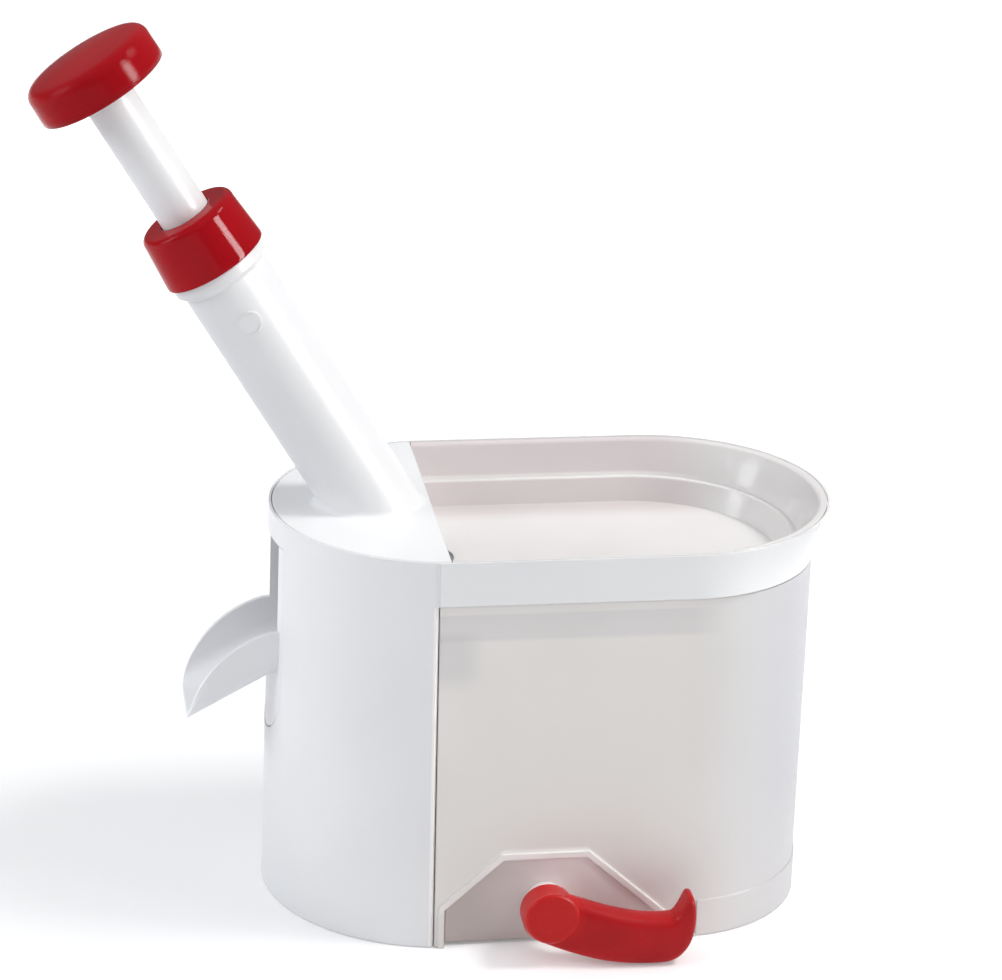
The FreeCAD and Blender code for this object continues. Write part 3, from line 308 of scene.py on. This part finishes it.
def clearRed(name, values):
    f = Finish(name)
    clouds = f.noise(values["cloudScale"], detail=3.0)
    skin = f.noise(values["skinScale"])
    x, y, z = f.axes()
    # painted light: the boss's disc and a band along the underside are coloured brighter, and Emission adds a faint
    # painted glow
    across, rise = (x - values["discPlace"][0]) * 1000, (z - values["discPlace"][1]) * 1000
    away = f.add("ShaderNodeMath", {"operation": "SQRT"}, {0: across * across + rise * rise})
    disc = f.span(away, *values["discFade"], 0.0, values["discDepth"])
    under = f.span(z + x * values["slope"], *values["underSpan"])
    bright = f.span(disc + under, 0.0, 1.0)
    colour = f.mix(f.span(clouds, *patchSpan), values["colour"], values["shade"])
    colour = f.mix(bright, colour, values["lit"])
    return f.surface(
        {"Base Color": colour, "Roughness": f.span(clouds, *grainSpan, *values["rough"]),
         "Emission Color": f.mix(bright, values["dimGlow"], values["litGlow"]),
         "Normal": f.softNormal(values["edge"], skin, values["bump"])},
        {"IOR": values["ior"], "Emission Strength": 1.0})


finishes["clearRed"] = clearRed("clearRed", {
    "colour": (0.43, 0.009, 0.012), "shade": (0.37, 0.008, 0.011), "lit": (0.47, 0.012, 0.013),
    "dimGlow": (0.02, 0.0, 0.0), "litGlow": (0.05, 0.001, 0.001), "cloudScale": 90, "skinScale": 1200,
    "discPlace": (0.0002, 0.0178), "discFade": (12.0, 8.0), "discDepth": 0.9,  # fade in millimetres from its middle
    "slope": 0.25, "underSpan": (0.0105, 0.0045), "rough": (0.26, 0.36), "edge": 0.0008, "bump": 0.04, "ior": 1.25})


def brushedSteel(name, values):
    f = Finish(name)
    streaks = f.noise(values["streakScale"], detail=3.0, rough=0.6, stretch=values["stretch"])
    tarnish = f.noise(values["tarnishScale"])
    colour = f.mix(f.span(tarnish, *patchSpan), values["colour"], values["shade"])
    return f.surface(
        {"Base Color": colour, "Roughness": f.span(streaks, *grainSpan, *values["rough"]),
         "Normal": f.softNormal(values["edge"], streaks, values["bump"], values["depth"])},
        {"Metallic": 1.0})


finishes["steel"] = brushedSteel("steel", {
    "colour": (0.62, 0.62, 0.63), "shade": (0.52, 0.52, 0.54), "streakScale": 900, "tarnishScale": 45,
    "stretch": (1, 1, 0.2), "rough": (0.18, 0.34), "edge": 0.0002, "bump": 0.08, "depth": 0.0001})


def softRubber(name, values):
    f = Finish(name)
    clouds = f.noise(values["cloudScale"], detail=3.0)
    skin = f.noise(values["skinScale"], detail=3.0, rough=0.6)
    colour = f.mix(f.span(clouds, *patchSpan), values["colour"], values["shade"])
    return f.surface(
        {"Base Color": colour, "Roughness": f.span(skin, *grainSpan, *values["rough"]),
         "Normal": f.softNormal(values["edge"], skin, values["bump"])},
        {"IOR": values["ior"]})


finishes["rubber"] = softRubber("rubber", {
    "colour": (0.50, 0.50, 0.49), "shade": (0.42, 0.42, 0.41), "cloudScale": 70, "skinScale": 900,
    "rough": (0.5, 0.68), "edge": 0.0004, "bump": 0.15, "ior": 1.5})
print("finishes made:", len(finishes))

nodeFinish = {
    "housing": "whitePlastic", "tube_cover": "whitePlastic", "hopper_tray": "trayPlastic",
    "guide_bush": "whitePlastic", "plunger_shaft": "whitePlastic", "plunger_knob": "knobPlastic",
    "ring_nut": "redPlastic", "outlet_chute": "chutePlastic", "cherry_seat": "whitePlastic",
    "stone_container": "frostedPlastic", "foot_housing": "shadedFootPlastic", "suction_lever": "clearRed",
    "pitting_rod": "steel", "rod_cross_pin": "steel", "return_spring": "steel", "spring_washer": "steel",
    "stripper_plate": "steel", "foot_screws": "steel", "lever_shaft": "steel", "shaft_clip": "steel",
    "suction_cup": "rubber", "seat_gasket": "rubber", "lifting_stem": "greyPlastic",
}
for nodeName, finishName in nodeFinish.items():
    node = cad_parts[nodeName]
    node.data.materials.clear()
    node.data.materials.append(finishes[finishName])


def startPiece():
    if bpy.context.object and bpy.context.object.mode != "OBJECT":
        bpy.ops.object.mode_set(mode="OBJECT")
    bpy.ops.object.select_all(action="DESELECT")


def pickNothing(mesh):
    for element in (*mesh.verts, *mesh.edges, *mesh.faces):
        element.select = False


def pickFaces(piece, wanted):  # in edit mode, by a test on each face's normal
    mesh = bmesh.from_edit_mesh(piece.data)
    pickNothing(mesh)
    for face in mesh.faces:
        if wanted(face.normal):
            face.select_set(True)
    mesh.select_flush_mode()
    bmesh.update_edit_mesh(piece.data)


def finishPiece(piece, name, body, finish, nodes, angle):
    if piece.mode != "OBJECT":
        bpy.ops.object.mode_set(mode="OBJECT")
    for modifier in list(piece.modifiers):
        bpy.ops.object.modifier_apply(modifier=modifier.name)
    bpy.ops.object.transform_apply(location=True, rotation=True, scale=True)
    piece.name = piece.data.name = name
    bpy.ops.object.shade_smooth_by_angle(angle=math.radians(angle))
    piece.data.materials.clear()
    piece.data.materials.append(finishes[finish])
    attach(piece, body)
    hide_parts(*nodes)
    print("piece made:", name, len(piece.data.polygons), "faces")


def roundEdges(piece, width, segments, angle):
    bevel = piece.modifiers.new("roundedEdges", "BEVEL")
    bevel.width, bevel.segments = width, segments
    bevel.limit_method, bevel.angle_limit = "ANGLE", math.radians(angle)
    bevel.harden_normals = False


leverShape = {
    "start": (-0.0040, -0.0706, 0.0160),
    "startLength": 0.001,
    "depth": 0.0112,
    "rootHeight": 0.0112,
    "rootTurn": 15,
    "stations": [  # x, y and z of each section's middle, its height, and its turn in degrees
        (-0.0020, -0.0706, 0.0156, 0.0166, 15), (0.0025, -0.0708, 0.0145, 0.0184, 15),
        (0.0100, -0.0726, 0.0123, 0.0186, 15), (0.0200, -0.0745, 0.0098, 0.0182, 14),
        (0.0290, -0.0749, 0.0086, 0.0174, 9), (0.0360, -0.0750, 0.0083, 0.0170, 0),
        (0.0402, -0.0750, 0.0086, 0.0168, -8), (0.0432, -0.0750, 0.0112, 0.0126, -30),
        (0.0447, -0.0750, 0.0155, 0.0078, -58), (0.0456, -0.0750, 0.0200, 0.0046, -78),
        (0.0460, -0.0750, 0.0240, 0.0018, -84)],
    "corner": 16,  # percent of the neighbouring edges
    "smooth": 3,
    "smoothAngle": 60,
}


def armSection(vertex, rootX):  # the root's far corners come first, then four corners to a section
    if vertex.index < 8 and vertex.co.x < rootX:
        return 0
    return max(1, (vertex.index - 4) // 4)


def makeLeverArm(values):
    startPiece()
    bpy.ops.mesh.primitive_cube_add(size=1, location=values["start"])
    piece = bpy.context.object
    piece.scale = (values["startLength"], values["depth"], values["rootHeight"])
    bpy.ops.object.transform_apply(location=True, rotation=True, scale=True)
    bpy.ops.object.mode_set(mode="EDIT")
    bpy.ops.mesh.select_mode(type="FACE")
    bpy.ops.mesh.select_all(action="SELECT")
    bpy.ops.transform.rotate(value=-math.radians(values["rootTurn"]), orient_axis="Y",
                             center_override=values["start"])
    pickFaces(piece, lambda normal: normal.x > 0.7)
    last, height, turn = Vector(values["start"]), values["rootHeight"], values["rootTurn"]
    for x, y, z, nextHeight, nextTurn in values["stations"]:
        place = Vector((x, y, z))
        bpy.ops.mesh.extrude_region_move(TRANSFORM_OT_translate={"value": place - last})
        bpy.ops.transform.rotate(value=math.radians(turn), orient_axis="Y", center_override=place)
        bpy.ops.transform.resize(value=(1, 1, nextHeight / height), center_override=place)
        bpy.ops.transform.rotate(value=-math.radians(nextTurn), orient_axis="Y", center_override=place)
        last, height, turn = place, nextHeight, nextTurn
    mesh = bmesh.from_edit_mesh(piece.data)
    pickNothing(mesh)
    bpy.ops.mesh.select_mode(type="EDGE")
    for edge in mesh.edges:  # the four edges that run along the arm
        first, second = (armSection(vertex, values["start"][0]) for vertex in edge.verts)
        edge.select_set(first != second)
    bmesh.update_edit_mesh(piece.data)
    bpy.ops.mesh.bevel(offset_type="PERCENT", offset_pct=values["corner"], segments=1)
    bpy.ops.mesh.select_all(action="SELECT")
    bpy.ops.mesh.normals_make_consistent(inside=False)
    bpy.ops.object.mode_set(mode="OBJECT")
    smooth = piece.modifiers.new("smoothArm", "SUBSURF")
    smooth.levels = smooth.render_levels = values["smooth"]
    finishPiece(piece, "leverArm", "lever", "clearRed", ["suction_lever"], values["smoothAngle"])


bossShape = {
    "radius": 0.0091,
    "depth": 0.0076,
    "sides": 72,
    "place": (0, -0.0680, 0.0155),
    "reach": (0.0002, -0.0056, 0.0023),  # from the boss to its front disc
    "crown": ((0.0012, 0.0002), (0.0025, 0.0002)),  # width and rise of each ring on the disc
    "edge": 0.0012,
    "edgeSteps": 4,
    "edgeAngle": 30,
    "smoothAngle": 60,
}


def makeLeverBoss(values):
    startPiece()
    bpy.ops.mesh.primitive_cylinder_add(vertices=values["sides"], radius=values["radius"], depth=values["depth"],
                                        location=values["place"], rotation=(math.radians(90), 0, 0))
    piece = bpy.context.object
    bpy.ops.object.transform_apply(location=True, rotation=True, scale=True)
    bpy.ops.object.mode_set(mode="EDIT")
    bpy.ops.mesh.select_mode(type="FACE")
    pickFaces(piece, lambda normal: normal.y < -0.9)
    bpy.ops.mesh.extrude_region_move(TRANSFORM_OT_translate={"value": values["reach"]})
    for inset, rise in values["crown"]:
        bpy.ops.mesh.inset(thickness=inset, depth=rise)
    bpy.ops.object.mode_set(mode="OBJECT")
    roundEdges(piece, values["edge"], values["edgeSteps"], values["edgeAngle"])
    finishPiece(piece, "leverBoss", "lever", "clearRed", ["suction_lever"], values["smoothAngle"])


makeLeverArm(leverShape)
makeLeverBoss(bossShape)

softCommon = {"mergeDistance": 0.00001, "edgeSteps": 3, "edgeAngle": 35, "smoothAngle": 50}
softPieces = {  # travel is how far the loose end goes, slant what the leaning coil adds to the height
    "cupPiece": {
        **softCommon, "node": "suction_cup", "body": "container", "finish": "rubber", "flat": 1.0, "edge": 0.0004,
        "squash": {"joint": "lever_turn", "axis": (0, 0, 1), "anchor": (0, 0, 0), "travel": 0.003, "slant": 0}},
    "gasketPiece": {
        **softCommon, "node": "seat_gasket", "body": "body", "finish": "rubber", "flat": 1.0, "edge": 0.0001},
    "springPiece": {
        **softCommon, "node": "return_spring", "body": "body", "finish": "steel", "flat": 0.1, "edge": 0,
        "squash": {"joint": "plunger_press", "axis": (-0.5225, 0, 0.8526), "anchor": (-0.0494, 0, 0.1316),
                   "travel": 0.0476, "slant": 0.0098}},
}


def makeSoftPiece(name, values):  # the solid's own form, with its edges rounded off
    startPiece()
    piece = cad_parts[values["node"]].copy()
    piece.data = piece.data.copy()
    bpy.context.scene.collection.objects.link(piece)
    piece.select_set(True)
    bpy.context.view_layer.objects.active = piece
    bpy.ops.object.mode_set(mode="EDIT")
    bpy.ops.mesh.select_all(action="SELECT")
    bpy.ops.mesh.remove_doubles(threshold=values["mergeDistance"])
    bpy.ops.mesh.dissolve_limited(angle_limit=math.radians(values["flat"]))
    bpy.ops.object.mode_set(mode="OBJECT")
    if values["edge"]:
        roundEdges(piece, values["edge"], values["edgeSteps"], values["edgeAngle"])
    finishPiece(piece, name, values["body"], values["finish"], [values["node"]], values["smoothAngle"])
    squash = values.get("squash")
    if squash:
        low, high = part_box(values["node"])
        length = (high[2] - low[2] - squash["slant"]) / squash["axis"][2]
        1 - squash["travel"] / length
        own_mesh(piece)


for pieceName, pieceValues in softPieces.items():
    makeSoftPiece(pieceName, pieceValues)


def makeWorktop(values):
    bpy.ops.object.select_all(action="DESELECT")
    bpy.ops.mesh.primitive_plane_add(size=values["size"], location=(0, 0, values["height"]))
    worktop = bpy.context.object
    worktop.name = "worktop"
    f = Finish("paleWorktop")
    rays = f.add("ShaderNodeLightPath").socket.node.outputs
    seen = Part(f, rays["Is Camera Ray"]) + Part(f, rays["Is Glossy Ray"]) + Part(f, rays["Is Transmission Ray"])
    reach = f.add("ShaderNodeVectorMath", {"operation": "LENGTH"}, {0: f.coordinates}, "Value")
    lift = f.span(reach, *values["liftSpan"], *values["lift"])
    base = f.add("ShaderNodeBsdfPrincipled", inputs={
        "Base Color": (*values["colour"], 1), "Roughness": values["rough"], "IOR": values["ior"]})
    white = f.add("ShaderNodeEmission", inputs={"Color": (1, 1, 1, 1), "Strength": seen * lift})
    both = f.add("ShaderNodeAddShader", inputs={0: base, 1: white})
    f.add("ShaderNodeOutputMaterial", inputs={"Surface": both})
    worktop.data.materials.append(f.material)


makeWorktop({  # whiter away from the part, and the part's shadow stays
    "size": 9.0, "height": -0.0002, "colour": (0.80, 0.80, 0.81), "rough": 0.45, "ior": 1.25,
    "liftSpan": (0.22, 0.62), "lift": (0.22, 0.80)})


def makeSurround(values):
    world = bpy.data.worlds.new("whiteSurround")
    bpy.context.scene.world = world
    world.use_nodes = True
    nodes, links = world.node_tree.nodes, world.node_tree.links
    nodes.clear()
    kinds = {"path": "ShaderNodeLightPath", "place": "ShaderNodeTexCoord", "split": "ShaderNodeSeparateXYZ",
             "rise": "ShaderNodeMapRange", "plain": "ShaderNodeBackground", "white": "ShaderNodeBackground",
             "seen": "ShaderNodeMath", "choose": "ShaderNodeMixShader", "output": "ShaderNodeOutputWorld"}
    made = {name: nodes.new(kind) for name, kind in kinds.items()}
    made["plain"].inputs[0].default_value = (*values["light"], 1)
    made["white"].inputs[0].default_value = (1, 1, 1, 1)
    made["seen"].operation, made["seen"].use_clamp = "ADD", True
    for slot, number in enumerate((*values["span"], *values["strength"]), 1):
        made["rise"].inputs[slot].default_value = number
    joins = [("place", "Generated", "split", 0), ("split", "Z", "rise", 0), ("rise", 0, "plain", 1),
             ("path", "Is Camera Ray", "seen", 0), ("path", "Is Transmission Ray", "seen", 1),
             ("seen", 0, "choose", 0), ("plain", 0, "choose", 1), ("white", 0, "choose", 2),
             ("choose", 0, "output", 0)]
    for start, leaving, end, arriving in joins:
        links.new(made[start].outputs[leaving], made[end].inputs[arriving])


makeSurround({  # dimmer towards the horizon
    "light": (0.97, 0.985, 1.0), "span": (0.15, 0.75), "strength": (0.22, 0.72)})
print("worktop and surround made")
